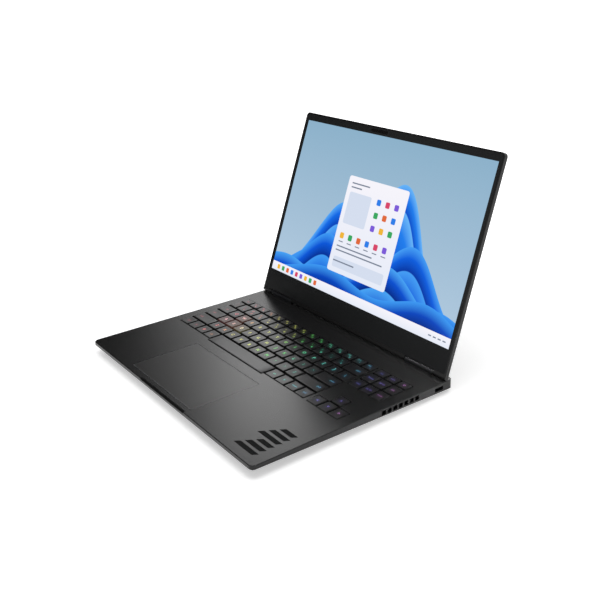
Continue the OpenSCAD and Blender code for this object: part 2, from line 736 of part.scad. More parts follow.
// Cup-shaped hub on a shaft, with swept blades
module fan_rotor(side) {
    rotor_h = 4;
    blade_t = 0.6;
    sweep_r = 11;
    cup_t = 0.8;
    root_r = hub_r - 0.3;
    color("#2a2b2d") in_place() translate([side * fan_x, fan_y, fan_z + fan_plate_t + 0.6]) {
        difference() {
            cylinder(r = hub_r, h = rotor_h);
            translate([0, 0, -1]) cylinder(r = hub_r - cup_t, h = rotor_h - cup_t + 1);
        }
        translate([0, 0, -0.4]) cylinder(r = shaft_r, h = rotor_h + 0.2);
        linear_extrude(rotor_h - 0.2) intersection() {
            difference() {
                circle(blade_r);
                circle(root_r);
            }
            for (i = [0:blade_count - 1]) rotate(i * 360 / blade_count)
                translate([(root_r + blade_r) / 2, 0]) intersection() {
                    translate([0, -sweep_r + 1.9]) difference() {
                        circle(sweep_r);
                        circle(sweep_r - blade_t);
                    }
                    translate([-sweep_r, -3]) square([2 * sweep_r, sweep_r]);
                }
        }
    }
}

module left_fan_rotor() { fan_rotor(-1); }
module right_fan_rotor() { fan_rotor(1); }

module battery_pack() {
    cell_w = battery_half * 2 / 3;
    front_y = front_flat_y + 7;
    back_y = palm_d - 10.2;
    color("#202124") in_place() {
        for (i = [-1:1]) translate([i * cell_w, 0, 0]) linear_extrude_at(floor_z + 0.3, battery_h)
            round_rect(0.1 - cell_w / 2, front_y, cell_w / 2 - 0.1, back_y, 2);
        span(-1.49 * cell_w, back_y - 3, floor_z + 0.3, 1.49 * cell_w, back_y + 2, floor_z + 0.3 + battery_h - 1);
    }
}

module linear_extrude_at(z, h) {
    translate([0, 0, z]) linear_extrude(h) children();
}

// A card that lies under the main board, on a socket block at its rear edge
module card(x0, y0, x1, y1) {
    card_z = board_z - 2.8;
    span(x0, y0, card_z, x1, y1, card_z + 1);
    span(x0 + 1, y1 - 3, card_z, x1 - 1, y1 + 2, board_z);
    span(x0 + 3, y0 + 3, card_z - 0.9, x1 - 3, y1 - 6, card_z);
    span(x0 + 2, y0, card_z, x0 + 6, y0 + 4, board_z);
}

// the cards have the sizes of standard ones, side by side under the main board
card_y = palm_d + 8.8;
memory_w = 67.6;
memory_d = 30;
drive_l = 80;
narrow_w = 22;
wireless_d = 28;
memory_x = [main_x0 + 2.05, main_x0 + memory_w + 6.45];
drive_x = memory_x[1] + memory_w + 10.4;
wireless_x = drive_x + drive_l + 10;

module memory_modules() {
    color("#1d4a35") in_place() for (x = memory_x) card(x, card_y, x + memory_w, card_y + memory_d);
}

module storage_drive() {
    color("#1b1c20") in_place() card(drive_x, card_y, drive_x + drive_l, card_y + narrow_w);
}

module wireless_card() {
    color("#2a3b2f") in_place() card(wireless_x, card_y, wireless_x + narrow_w, card_y + wireless_d);
}

module speaker(side) {
    color("#18191b") in_place() translate([side * speaker_x, speaker_y]) difference() {
        linear_extrude_at(floor_z + 0.3, 6) round_rect(-speaker_half, -speaker_half, speaker_half, speaker_half, 4);
        translate([0, 0, floor_z + 3]) cylinder(r = 11, h = 6);
    }
}

module left_speaker() { speaker(-1); }
module right_speaker() { speaker(1); }

// ---------------------------------------------------------------- sockets

// A metal box round an opening, seated on the side board; "tongue" is the contact blade inside
module socket_box(side, y, z, w, h, tongue) {
    low_z = z - h / 2 - socket_wall;
    color("#77787a") mirror([side < 0 ? 1 : 0, 0, 0]) difference() {
        union() {
            span(inner_x - socket_l, y - w / 2 - socket_wall, low_z, inner_x, y + w / 2 + socket_wall,
                 z + h / 2 + socket_wall);
            span(inner_x - socket_l, y - w / 2 - socket_wall, side_board_top, inner_x - board_inset,
                 y + w / 2 + socket_wall, z);
        }
        span(inner_x - socket_l + 1, y - w / 2, z - h / 2, inner_x + 1, y + w / 2, z + h / 2);
    }
    color("#e8e8ea") mirror([side < 0 ? 1 : 0, 0, 0])
        span(inner_x - socket_l + 0.5, y - w / 2 + 0.8, z + tongue[0], inner_x - 2, y + w / 2 - 0.8, z + tongue[1]);
}

module right_usb_socket() { in_place() socket_box(1, usb_y, socket_z, usb_w, usb_h, [0.1, 1.6]); }
module left_usb_socket() { in_place() socket_box(-1, left_usb_y, left_socket_z, usb_w, usb_h, [0.1, 1.6]); }
module video_socket() { in_place() socket_box(-1, video_y, left_socket_z, video_w, video_h, [-0.6, 0.6]); }
module small_usb_sockets() {
    in_place() for (y = small_usb_y)
        socket_box(-1, y, small_socket_z, small_usb_w, small_usb_h, [-0.35, 0.35]);
}

// A block on the side board with a round bore that opens through the left wall
module round_socket(y, bore_r, half_w) {
    difference() {
        union() {
            span(-inner_x, y - half_w, left_socket_z - half_w, -inner_x + socket_l, y + half_w,
                 left_socket_z + half_w);
            span(-inner_x + board_inset, y - half_w, side_board_top, -inner_x + socket_l, y + half_w,
                 left_socket_z);
        }
        rod_x(bore_r, -inner_x - 1, -inner_x + socket_l - 1, y, left_socket_z);
    }
}

module audio_jack() {
    spring_l = 3;
    spring_t = 0.3;
    color("#141414") in_place() round_socket(audio_y, jack_r, jack_r + socket_wall);
    color("#b0a060") in_place() for (s = sides)
        span(-inner_x + socket_l - 2 - spring_l, audio_y - 0.5, left_socket_z + s * jack_r - spring_t / 2,
             -inner_x + socket_l - 0.5, audio_y + 0.5, left_socket_z + s * jack_r + spring_t / 2);
}

module power_inlet() {
    color("#1a1a1a") in_place() {
        round_socket(power_y, power_r, power_r + 2 * socket_wall);
        rod_x(0.4, -inner_x + 3, -inner_x + socket_l - 0.5, power_y, left_socket_z);
    }
}

// ---------------------------------------------------------------- hinges

// Steel bracket under the deck; its neck rises through the deck and ends in the barrel
module hinge_bracket(side) {
    x0 = side * knuckle_x - knuckle_l / 2;
    x1 = side * knuckle_x + knuckle_l / 2;
    color("#2a2b2c") in_place() difference() {
        union() {
            rod_x(lid_half, x0, x1, axis_y, axis_z);
            span(x0, axis_y - lid_half, deck_under - 0.7, x1, axis_y + lid_half, axis_z);
            span(x0 - 3, axis_y - 24, deck_under - 1.4, x1 + 3, axis_y + 5, deck_under);
        }
        rod_x(pin_r + pin_fit, x0 - 1, x1 + 1, axis_y, axis_z);
    }
}

module left_hinge_bracket() { hinge_bracket(-1); }
module right_hinge_bracket() { hinge_bracket(1); }

knuckle_play = 0.4;
notch_reach = lid_half + 0.5;

// Hinge arm: a pin in the knuckle, an eye beside it and a leaf screwed inside the lid cover
module hinge_arm(side) {
    inner_end = knuckle_x - knuckle_l / 2;
    outer_end = knuckle_x + knuckle_l / 2;
    leaf_t = 1.2;
    leaf_z = -lid_half + lid_skin;
    color("#68696b") on_lid() mirror([side < 0 ? 1 : 0, 0, 0]) difference() {
        union() {
            rod_x(pin_r, inner_end + 1, outer_end + knuckle_play + 1, 0, 0);
            rod_x(lid_half, outer_end + knuckle_play, outer_end + knuckle_play + eye_l, 0, 0);
            span(outer_end + knuckle_play, 0, leaf_z, outer_end + knuckle_play + eye_l, 12, leaf_z + leaf_t);
            span(inner_end, 8, leaf_z, outer_end + knuckle_play + eye_l, 24, leaf_z + leaf_t);
        }
        for (i = [0:2]) translate([inner_end + 6 + i * 14, 16, leaf_z - 1]) cylinder(r = 1.3, h = leaf_t + 2);
    }
}

module left_hinge_arm() { hinge_arm(-1); }
module right_hinge_arm() { hinge_arm(1); }

// ---------------------------------------------------------------- lid

lid_ledge = 1.2;
spine_reach = 3.6;
bezel_fit = 0.1;
panel_fit = 0.5;
panel_top = screen_foot + screen_h + 2.2;
panel_foot = screen_foot - 4.8;
bezel_z = lid_half - bezel_t;
panel_t = lid_t - lid_skin - bezel_t - 0.8;
cavity_x = base_w / 2 - lid_rim - lid_ledge;
cavity_top = lid_reach - lid_rim - lid_ledge;

module lid_cover() {
    half_w = base_w / 2;
    web_t = 1;
    color("#38393b") on_lid() difference() {
        union() {
            difference() {
                union() {
                    intersection() {
                        chamfered_plate(-half_w, -lid_corner_r * 2, half_w, lid_reach, -lid_half, lid_half,
                                        lid_corner_r, edge_chamfer, edge_chamfer / 2);
                        translate([-big, 0, -big]) cube([2 * big, big, 2 * big]);
                    }
                    rod_x(lid_half, -half_w, half_w, 0, 0);
                }
                translate([0, 0, lid_skin - lid_half]) linear_extrude(big)
                    round_rect(-cavity_x, spine_reach + web_t, cavity_x, cavity_top, lid_corner_r - lid_rim - lid_ledge);
                translate([0, 0, bezel_z]) linear_extrude(big)
                    round_rect(-cavity_x - lid_ledge, spine_reach, cavity_x + lid_ledge, cavity_top + lid_ledge,
                               lid_corner_r - lid_rim);
            }
            for (share = [0.15, 0.4, 0.65, 0.9])
                span(-cavity_x + 20, screen_foot + share * screen_h - 5, -lid_half + lid_skin / 2,
                     cavity_x - 20, screen_foot + share * screen_h + 5, bezel_z - panel_t);
        }
        for (s = sides) mirror([s < 0 ? 1 : 0, 0, 0]) {
            span(knuckle_x - knuckle_l / 2 - knuckle_play, -lid_t, -lid_t,
                 knuckle_x + knuckle_l / 2 + knuckle_play + eye_l + 0.05, notch_reach, lid_t);
            span(knuckle_x + knuckle_l / 2 + knuckle_play - 0.05, 0, -lid_half + lid_skin,
                 knuckle_x + knuckle_l / 2 + knuckle_play + eye_l + 0.05, spine_reach + web_t + 1,
                 -lid_half + lid_skin + 1.25);
        }
    }
}

// Outline of the dark window in front of the camera and its microphones
module camera_window(fit) {
    window_h = 3.6;
    middle = (panel_top + cavity_top) / 2;
    round_rect(camera_x - camera_w / 2 - fit, middle - window_h / 2 - fit,
               camera_x + camera_w / 2 + fit, middle + window_h / 2 + fit, window_h / 2 - 0.1);
}

module display_bezel() {
    outer_x = cavity_x + lid_ledge - bezel_fit;
    color("#1c1d1f") on_lid() difference() {
        translate([0, 0, bezel_z]) linear_extrude(bezel_t)
            round_rect(-outer_x, spine_reach + bezel_fit, outer_x, cavity_top + lid_ledge - bezel_fit,
                       lid_corner_r - lid_rim - bezel_fit);
        translate([-screen_w / 2, screen_foot, 0]) cube([screen_w, screen_h, lid_t]);
        linear_extrude(lid_t) camera_window(0.15);
    }
}

module display_panel() {
    color("#0c0d10") on_lid()
        span(-cavity_x + panel_fit, panel_foot, bezel_z - panel_t, cavity_x - panel_fit, panel_top, bezel_z);
}

module camera_module() {
    color("#101214") on_lid() {
        span(camera_x - 30, panel_top + 0.3, lid_skin - lid_half, camera_x + 30, cavity_top - 0.3, bezel_z - 0.3);
        linear_extrude(lid_half - 0.2) camera_window(0);
    }
}

module display_cable() {
    ribbon_z = lid_skin - lid_half;
    color("#3a2a10") on_lid() {
        span(-70, spine_reach + 2, ribbon_z, -58, panel_foot - 0.5, ribbon_z + 0.4);
        span(-76, panel_foot - 4, ribbon_z, -52, panel_foot - 0.3, ribbon_z + 2);
    }
}

top_case();
bottom_cover();
front_foot();
rear_foot();
cover_screws();
keyboard_plate();
touchpad_bracket();
circuit_boards();
chip_packages();
heat_pipe();
left_fin_stack();
right_fin_stack();
left_fan_housing();
right_fan_housing();
battery_pack();
storage_drive();
memory_modules();
wireless_card();
left_speaker();
right_speaker();
right_usb_socket();
power_inlet();
video_socket();
left_usb_socket();
small_usb_sockets();
audio_jack();
left_hinge_bracket();
right_hinge_bracket();
lid_cover();
display_bezel();
display_panel();
camera_module();
left_hinge_arm();
right_hinge_arm();
display_cable();
left_fan_rotor();
right_fan_rotor();
touchpad();
function_keys();
number_keys();
upper_letter_keys();
home_letter_keys();
lower_letter_keys();
left_modifier_keys();
right_modifier_keys();
navigation_keys();
power_key();
backspace_key();
tab_key();
caps_lock_key();
enter_key();
left_shift_key();
right_shift_key();
space_bar();
escape_key();
arrow_up_key();
arrow_down_key();
arrow_left_key();
arrow_right_key();
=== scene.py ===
import json
import math

import bpy
import numpy as np
from mathutils import Matrix, Vector


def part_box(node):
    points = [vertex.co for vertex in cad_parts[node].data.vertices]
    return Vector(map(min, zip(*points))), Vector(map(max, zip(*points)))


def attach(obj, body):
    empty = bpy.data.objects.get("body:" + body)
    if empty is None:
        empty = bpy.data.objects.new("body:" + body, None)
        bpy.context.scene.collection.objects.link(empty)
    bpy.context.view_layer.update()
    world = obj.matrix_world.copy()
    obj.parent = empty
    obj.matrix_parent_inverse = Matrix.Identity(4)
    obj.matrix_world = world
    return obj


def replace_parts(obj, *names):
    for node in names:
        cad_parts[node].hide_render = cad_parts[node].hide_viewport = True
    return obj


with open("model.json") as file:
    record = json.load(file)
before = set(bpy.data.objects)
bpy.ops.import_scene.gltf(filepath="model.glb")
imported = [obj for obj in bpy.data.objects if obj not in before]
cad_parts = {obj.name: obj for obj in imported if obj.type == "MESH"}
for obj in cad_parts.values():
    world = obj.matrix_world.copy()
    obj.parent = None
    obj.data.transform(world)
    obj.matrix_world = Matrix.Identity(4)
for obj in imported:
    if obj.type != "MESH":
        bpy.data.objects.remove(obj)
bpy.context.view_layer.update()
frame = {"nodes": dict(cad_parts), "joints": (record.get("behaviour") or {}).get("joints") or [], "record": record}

MM = 0.001
NODES = frame["nodes"]
BODY_OF = {node: body
           for body, nodes in frame["record"]["behaviour"]["bodies"].items()
           for node in nodes}

# ---------------------------------------------------------------- small tools


def linear(hex_colour):
    """An sRGB hex colour as linear RGBA."""
    parts = [int(hex_colour[i:i + 2], 16) / 255 for i in (1, 3, 5)]
    return tuple(c / 12.92 if c <= 0.04045 else ((c + 0.055) / 1.055) ** 2.4 for c in parts) + (1.0,)


def add(tree, kind, links=None, stops=(), **settings):
    """Adds a node. links maps an input's name or number to a value or to another node's output, and stops
    are the (place, hex colour) pairs of a colour ramp."""
    made = tree.nodes.new(kind)
    for key, value in settings.items():
        setattr(made, key, value)
    for key, value in (links or {}).items():
        if isinstance(value, bpy.types.NodeSocket):
            tree.links.new(value, made.inputs[key])
        else:
            made.inputs[key].default_value = value
    for i, (place, colour) in enumerate(stops):
        scale = made.color_ramp.elements
        element = scale[i] if i < 2 else scale.new(place)
        element.position = place
        element.color = linear(colour)
    return made


def material(name, **settings):
    """A new node material; settings go to its Principled shader."""
    made = bpy.data.materials.new(name)
    made.use_nodes = True
    tree = made.node_tree
    shader = tree.nodes["Principled BSDF"]
    for key, value in settings.items():
        shader.inputs[key.replace("_", " ")].default_value = value
    return made, tree, shader


def object_mm(tree, scale=1.0):
    """Object coordinates, multiplied so that one unit is 1 / scale millimetres."""
    place = add(tree, "ShaderNodeTexCoord").outputs["Object"]
    return add(tree, "ShaderNodeVectorMath", {0: place, 1: (scale / MM,) * 3},
               operation="MULTIPLY").outputs["Vector"]


def grain(tree, shader, size_mm, height_mm, colours, detail=2.0, stretch=(1, 1, 1)):
    """Fine moulded or blasted grain: a noise of size_mm tints the colour and lifts the surface."""
    place = add(tree, "ShaderNodeVectorMath", {0: object_mm(tree), 1: stretch}, operation="MULTIPLY")
    noise = add(tree, "ShaderNodeTexNoise",
                {"Vector": place.outputs["Vector"], "Scale": 1 / size_mm, "Detail": detail, "Roughness": 0.6})
    tint = add(tree, "ShaderNodeValToRGB", {"Fac": noise.outputs["Fac"]}, [(0.3, colours[0]), (0.7, colours[1])])
    tree.links.new(tint.outputs["Color"], shader.inputs["Base Color"])
    bump = add(tree, "ShaderNodeBump",
               {"Height": noise.outputs["Fac"], "Strength": 0.6, "Distance": height_mm * MM})
    tree.links.new(bump.outputs["Normal"], shader.inputs["Normal"])


def dress(nodes, made):
    """Gives CAD nodes a material."""
    for name in nodes:
        NODES[name].data.materials.clear()
        NODES[name].data.materials.append(made)


def piece(name, body, slot, made, verts, faces, uv=None, smooth=True):
    """A finished mesh piece: verts is an (n, 3) array in metres in the row frame, uv an (n, 2) array."""
    mesh = bpy.data.meshes.new(name)
    mesh.from_pydata(np.asarray(verts, float).tolist(), [], [list(map(int, f)) for f in faces])
    if uv is not None:
        layer = mesh.uv_layers.new(name="place")
        index = np.empty(len(mesh.loops), np.int32)
        mesh.loops.foreach_get("vertex_index", index)
        layer.data.foreach_set("uv", np.asarray(uv, np.float32)[index].ravel())
    mesh.polygons.foreach_set("use_smooth", np.full(len(mesh.polygons), smooth))
    mesh.materials.append(made)
    mesh.update()
    made_object = bpy.data.objects.new(name, mesh)
    bpy.context.scene.collection.objects.link(made_object)
    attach(made_object, body)
    return made_object


def joined(parts):
    """Joins (verts, faces) or (verts, faces, uv) parts into one set of arrays."""
    verts, faces, uvs, start = [], [], [], 0
    for part in parts:
        verts.append(np.asarray(part[0], float))
        faces += [[i + start for i in face] for face in part[1]]
        if len(part) > 2:
            uvs.append(np.asarray(part[2], float))
        start += len(part[0])
    return (np.vstack(verts), faces, np.vstack(uvs)) if uvs else (np.vstack(verts), faces)


def grid_faces(rows, columns, wrap=False):
    """Quads of a grid of points stored row by row; wrap closes each row on itself."""
    row, column = np.meshgrid(np.arange(rows - 1), np.arange(columns if wrap else columns - 1), indexing="ij")
    after = (column + 1) % columns
    quads = np.stack([row * columns + column, row * columns + after,
                      (row + 1) * columns + after, (row + 1) * columns + column], -1)
    return quads.reshape(-1, 4).tolist()


def round_outline(x0, y0, x1, y1, radius, steps=5):
    """A rounded rectangle as an (n, 2) array: four quarter circles of the given radius, run anticlockwise."""
    turn = np.linspace(0, math.pi / 2, steps)
    corners = [(x1 - radius, y1 - radius), (x0 + radius, y1 - radius),
               (x0 + radius, y0 + radius), (x1 - radius, y0 + radius)]
    return np.concatenate([
        np.stack([cx + radius * np.cos(turn + i * math.pi / 2), cy + radius * np.sin(turn + i * math.pi / 2)], 1)
        for i, (cx, cy) in enumerate(corners)])


def ringed(rings, closed=True):
    """A surface through equal rings of points, each closed on itself; closed fills the first and the last ring."""
    count = len(rings[0])
    faces = grid_faces(len(rings), count, wrap=True)
    if closed:
        faces.append(list(range(count))[::-1])
        faces.append([(len(rings) - 1) * count + i for i in range(count)])
    return np.vstack(rings), faces


# ---------------------------------------------------------------- places, from the frame

HINGE = next(j for j in frame["joints"] if j["name"] == "lid_hinge")
AXIS = np.array(HINGE["pos_m"])
LEAN = math.pi + math.radians(HINGE["range_deg"][0])
DECK_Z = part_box("top_case")[1].z
FRONT_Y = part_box("top_case")[0].y
CAP_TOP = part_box("enter_key")[1].z


def on_lid(points):
    """Lid coordinates (along the hinge, up the lid, out of the picture side), in metres, to the row frame."""
    x, up, out = np.asarray(points, float).T
    return np.stack([x, AXIS[1] + up * math.cos(LEAN) - out * math.sin(LEAN),
                     AXIS[2] + up * math.sin(LEAN) + out * math.cos(LEAN)], 1)


def lid_box(node):
    """Lowest and highest corner of a lid node in lid coordinates."""
    mesh = NODES[node].data
    flat = np.empty(len(mesh.vertices) * 3)
    mesh.vertices.foreach_get("co", flat)
    co = flat.reshape(-1, 3) - AXIS
    up = co[:, 1] * math.cos(LEAN) + co[:, 2] * math.sin(LEAN)
    out = -co[:, 1] * math.sin(LEAN) + co[:, 2] * math.cos(LEAN)
    local = np.stack([co[:, 0], up, out], 1)
    return local.min(0), local.max(0)


# ---------------------------------------------------------------- camera, light and floor

# the camera stands in front of the right-hand corner, above the deck; lengths in metres, angles in degrees
CAMERA_AT = (0.7584, -0.5332, 0.4641)
CAMERA_AZIMUTH = 51.88
CAMERA_DOWN = 16.82
CAMERA_ROLL = -0.96
CAMERA_LENS = 50.30
CAMERA_SHIFT = (-0.0467, -0.1417)

# strength of the world's light on surfaces, then the floor's own glow beside the laptop and far from it, and the
# distances from the middle between which it grows
WORLD_LIGHT = 0.40
FLOOR_LIFT_NEAR = 0.46
FLOOR_LIFT_FAR = 0.9
LIFT_FROM = 0.255
LIFT_TO = 0.3
FLOOR_HALF = 12.0
FLAG_DISTANCE = 2.4


def make_camera():
    data = bpy.data.cameras.new("camera")
    data.sensor_width = 36
    data.lens = CAMERA_LENS
    data.shift_x, data.shift_y = CAMERA_SHIFT
    data.clip_start = 0.01
    camera = bpy.data.objects.new("camera", data)
    bpy.context.scene.collection.objects.link(camera)
    turn = Matrix.Rotation(math.radians(CAMERA_AZIMUTH), 4, "Z")
    tilt = Matrix.Rotation(math.radians(90 - CAMERA_DOWN), 4, "X")
    roll = Matrix.Rotation(math.radians(CAMERA_ROLL), 4, "Z")
    camera.matrix_world = Matrix.Translation(CAMERA_AT) @ turn @ tilt @ roll
    bpy.context.scene.camera = camera


def make_light(name, at, aim, size, power, spread=180):
    """A soft rectangular lamp; a grid in front of it narrows its spread, in degrees."""
    data = bpy.data.lights.new(name, "AREA")
    data.shape = "RECTANGLE"
    data.size, data.size_y = size
    data.energy = power
    data.spread = math.radians(spread)
    lamp = bpy.data.objects.new(name, data)
    bpy.context.scene.collection.objects.link(lamp)
    way = Vector(aim) - Vector(at)
    lamp.matrix_world = Matrix.Translation(at) @ way.to_track_quat("-Z", "Y").to_matrix().to_4x4()
    lamp.visible_camera = False


def seen_directly(tree):
    """1 for a camera, glossy or transmission ray, else 0."""
    path = add(tree, "ShaderNodeLightPath")
    first = add(tree, "ShaderNodeMath", {0: path.outputs["Is Camera Ray"], 1: path.outputs["Is Glossy Ray"]},
                operation="MAXIMUM")
    return add(tree, "ShaderNodeMath", {0: first.outputs[0], 1: path.outputs["Is Transmission Ray"]},
               operation="MAXIMUM").outputs[0]


def toward(azimuth, rise, distance):
    """A place at a distance from the object, azimuth degrees from the back towards the left, rise degrees up."""
    turn, lift = math.radians(azimuth), math.radians(rise)
    return Vector((-math.sin(turn) * math.cos(lift), math.cos(turn) * math.cos(lift), math.sin(lift))) * distance


SQUARE = ((-1, -1), (1, -1), (1, 1), (-1, 1))


def card(name, made, corners):
    """A stage object of one flat face, which isn't part of the laptop."""
    mesh = bpy.data.meshes.new(name)
    mesh.from_pydata([tuple(c) for c in corners], [], [(0, 1, 2, 3)])
    mesh.materials.append(made)
    made_object = bpy.data.objects.new(name, mesh)
    bpy.context.scene.collection.objects.link(made_object)
    return made_object


def make_flag(name, made, azimuth, rise, distance, size):
    """A black cloth flag: a flat card that faces the object and shows only in its reflections."""
    at = toward(azimuth, rise, distance)
    turn = (-at).to_track_quat("Z", "Y").to_matrix()
    flag = card(name, made, [at + turn @ Vector((x * size[0] / 2, y * size[1] / 2, 0)) for x, y in SQUARE])
    flag.visible_camera = flag.visible_diffuse = flag.visible_shadow = False


def make_studio():
    scene = bpy.context.scene
    scene.view_settings.view_transform = "Standard"
    world = bpy.data.worlds.new("studio")
    world.use_nodes = True
    scene.world = world
    tree = world.node_tree
    strength = add(tree, "ShaderNodeMapRange", {"Value": seen_directly(tree), "To Min": WORLD_LIGHT, "To Max": 1.0})
    back = tree.nodes["Background"]
    back.inputs["Color"].default_value = (1, 1, 1, 1)
    tree.links.new(strength.outputs[0], back.inputs["Strength"])

    made = bpy.data.materials.new("white_painted_floor")
    made.use_nodes = True
    tree = made.node_tree
    tree.nodes.clear()
    diffuse = add(tree, "ShaderNodeBsdfDiffuse", {"Color": linear("#ececec")})
    # the lamps reach only the middle of the floor, so the lift grows with distance and both blend into white
    far = add(tree, "ShaderNodeVectorMath", {0: add(tree, "ShaderNodeTexCoord").outputs["Object"]}, operation="LENGTH")
    most = add(tree, "ShaderNodeMapRange", {"Value": far.outputs["Value"], "From Min": LIFT_FROM,
                                            "From Max": LIFT_TO, "To Min": FLOOR_LIFT_NEAR,
                                            "To Max": FLOOR_LIFT_FAR})
    lift = add(tree, "ShaderNodeMapRange", {"Value": seen_directly(tree), "To Min": 0.0, "To Max": most.outputs[0]})
    glow = add(tree, "ShaderNodeEmission", {"Color": (1, 1, 1, 1), "Strength": lift.outputs[0]})
    both = add(tree, "ShaderNodeAddShader", {0: diffuse.outputs[0], 1: glow.outputs[0]})
    add(tree, "ShaderNodeOutputMaterial", {"Surface": both.outputs[0]})
    floor = card("floor", made, [(x * FLOOR_HALF, y * FLOOR_HALF, 0) for x, y in SQUARE])

    cloth, tree, shader = material("black_wool_flag", Roughness=1.0, Specular_IOR_Level=0.0)
    grain(tree, shader, 3.0, 0.1, ("#020202", "#050505"))
    make_flag("left_flag", cloth, 106.0, 24.0, FLAG_DISTANCE, (3.4, 2.4))
    make_flag("low_flag", cloth, 112.0, 4.0, 0.34, (0.5, 0.085))
    make_flag("top_flag", cloth, 42.0, 64.0, FLAG_DISTANCE, (5.0, 2.5))

    make_light("overhead_softbox", (0.1, -0.1, 1.5), (0, 0, 0), (1.6, 1.2), 15)
    make_light("backdrop_softbox", toward(42.0, 32.0, 1.8), (0, 0, 0), (1.2, 0.5), 6.3)
    make_light("gridded_softbox", (-0.35, -0.05, 0.95), (0.16, 0.09, 0.02), (0.15, 0.15), 0.12, 20)


# ---------------------------------------------------------------- materials

# the keys' back-light, as (distance from the laptop's middle in mm, colour), from left to right
BACK_LIGHT = [(-170, "#963246"), (-122, "#c83c50"), (-98, "#e08a50"), (-84, "#c8c04a"), (-30, "#c8d850"),
              (-13, "#44cc40"), (8, "#28c84c"), (22, "#2cc890"), (50, "#34c0a8"), (94, "#3cb0c8"),
              (104, "#4a88d8"), (115, "#4e50c0"), (138, "#5c42b8"), (160, "#a0449a")]


def back_light(tree):
    """The back-light's colour, which changes along the keyboard."""
    place = add(tree, "ShaderNodeTexCoord").outputs["Object"]
    x = add(tree, "ShaderNodeSeparateXYZ", {0: place}).outputs["X"]
    low, high = BACK_LIGHT[0][0], BACK_LIGHT[-1][0]
    along = add(tree, "ShaderNodeMapRange", {"Value": x, "From Min": low * MM, "From Max": high * MM})
    stops = [((mm - low) / (high - low), colour) for mm, colour in BACK_LIGHT]
    return add(tree, "ShaderNodeValToRGB", {"Fac": along.outputs[0]}, stops).outputs["Color"]


def coated_aluminium(name, dark, light, roughness):
    """Aluminium sheet, blasted, dyed and coated: a dark satin skin with a fine even sparkle of 0.25 mm grain."""
    made, tree, shader = material(name, Roughness=roughness, IOR=1.5, Specular_IOR_Level=0.3)
    grain(tree, shader, 0.25, 0.003, (dark, light))
    return made


def matt_skin(name, dark, light, roughness, size_mm=0.4, height_mm=0.01, level=0.4):
    """A moulded, painted, cast or etched skin: fine grain with no direction, which softens each highlight."""
    made, tree, shader = material(name, Roughness=roughness, IOR=1.5, Specular_IOR_Level=level)
    grain(tree, shader, size_mm, height_mm, (dark, light))
    return made


def sheet_metal(name, dark, light, roughness, stretch=(1, 12, 12)):
    """Stamped or rolled metal: long fine lines along the rolling direction."""
    made, tree, shader = material(name, Metallic=1.0, Roughness=roughness)
    grain(tree, shader, 1.2, 0.004, (dark, light), stretch=stretch)
    return made


def key_coat(name):
    """ABS key caps, satin black on top: their side walls carry painted shade, near black and matt, which darkens the
    gaps between the keys, and the skin round a legend passes a little back-light."""
    made, tree, shader = material(name, IOR=1.5, Specular_IOR_Level=0.3)
    grain(tree, shader, 0.25, 0.005, ("#141415", "#1a1a1b"))
    z = add(tree, "ShaderNodeSeparateXYZ", {0: add(tree, "ShaderNodeTexCoord").outputs["Object"]}).outputs["Z"]
    # painted is 1 on the cap's top face and 0 down its side walls, whose near-black #020202 is painted shade
    painted = add(tree, "ShaderNodeMapRange", {"Value": z, "From Min": CAP_TOP - 0.5 * MM,
                                               "From Max": CAP_TOP - 0.2 * MM}).outputs[0]
    paint = shader.inputs["Base Color"].links[0].from_socket
    skin = add(tree, "ShaderNodeMix", {0: painted, "A": linear("#020202"), "B": paint}, data_type="RGBA")
    tree.links.new(skin.outputs["Result"], shader.inputs["Base Color"])
    gloss = add(tree, "ShaderNodeMapRange", {"Value": painted, "To Min": 0.9, "To Max": 0.29}).outputs[0]
    tree.links.new(gloss, shader.inputs["Roughness"])
    place = add(tree, "ShaderNodeUVMap", uv_map="place").outputs["UV"]
    far = add(tree, "ShaderNodeVectorMath", {0: place}, operation="LENGTH").outputs["Value"]
    halo = add(tree, "ShaderNodeMapRange", {"Value": far, "From Min": 0.05, "From Max": 0.6,
                                            "To Min": 0.045, "To Max": 0.0},
               interpolation_type="SMOOTHERSTEP").outputs[0]
    tree.links.new(back_light(tree), shader.inputs["Emission Color"])
    tree.links.new(halo, shader.inputs["Emission Strength"])
    return made


def clear_key_coat(name):
    """Frosted clear caps over the back-light: the four steering keys glow as a whole."""
    made, tree, shader = material(name, Roughness=0.4, IOR=1.5, Specular_IOR_Level=0.4, Emission_Strength=0.05)
    grain(tree, shader, 0.25, 0.006, ("#3c3734", "#47413d"))
    tree.links.new(back_light(tree), shader.inputs["Emission Color"])
    return made


def lit_legend(name, strength, white):
    """Laser-cut legends that the back-light shines through; white is the share of plain white in its colour."""
    made, tree, shader = material(name, Roughness=0.5, Base_Color=linear("#202020"), Emission_Strength=strength)
    tint = add(tree, "ShaderNodeMix", {0: white, "A": back_light(tree), "B": linear("#ffffff")}, data_type="RGBA")
    tree.links.new(tint.outputs["Result"], shader.inputs["Emission Color"])
    return made


def glowing(name, stops=None, strength=1.0, colour=None):
    """A lit part of the picture behind anti-glare film: even colour, or a ramp along the piece's V."""
    made, tree, shader = material(name, Roughness=0.2, IOR=1.5, Specular_IOR_Level=0.08,
                                  Base_Color=linear("#020203"), Emission_Strength=strength)
    if stops:
        place = add(tree, "ShaderNodeUVMap", uv_map="place").outputs["UV"]
        v = add(tree, "ShaderNodeSeparateXYZ", {0: place}).outputs["Y"]
        tint = add(tree, "ShaderNodeValToRGB", {"Fac": v}, stops)
        tree.links.new(tint.outputs["Color"], shader.inputs["Emission Color"])
    else:
        shader.inputs["Emission Color"].default_value = linear(colour)
    return made


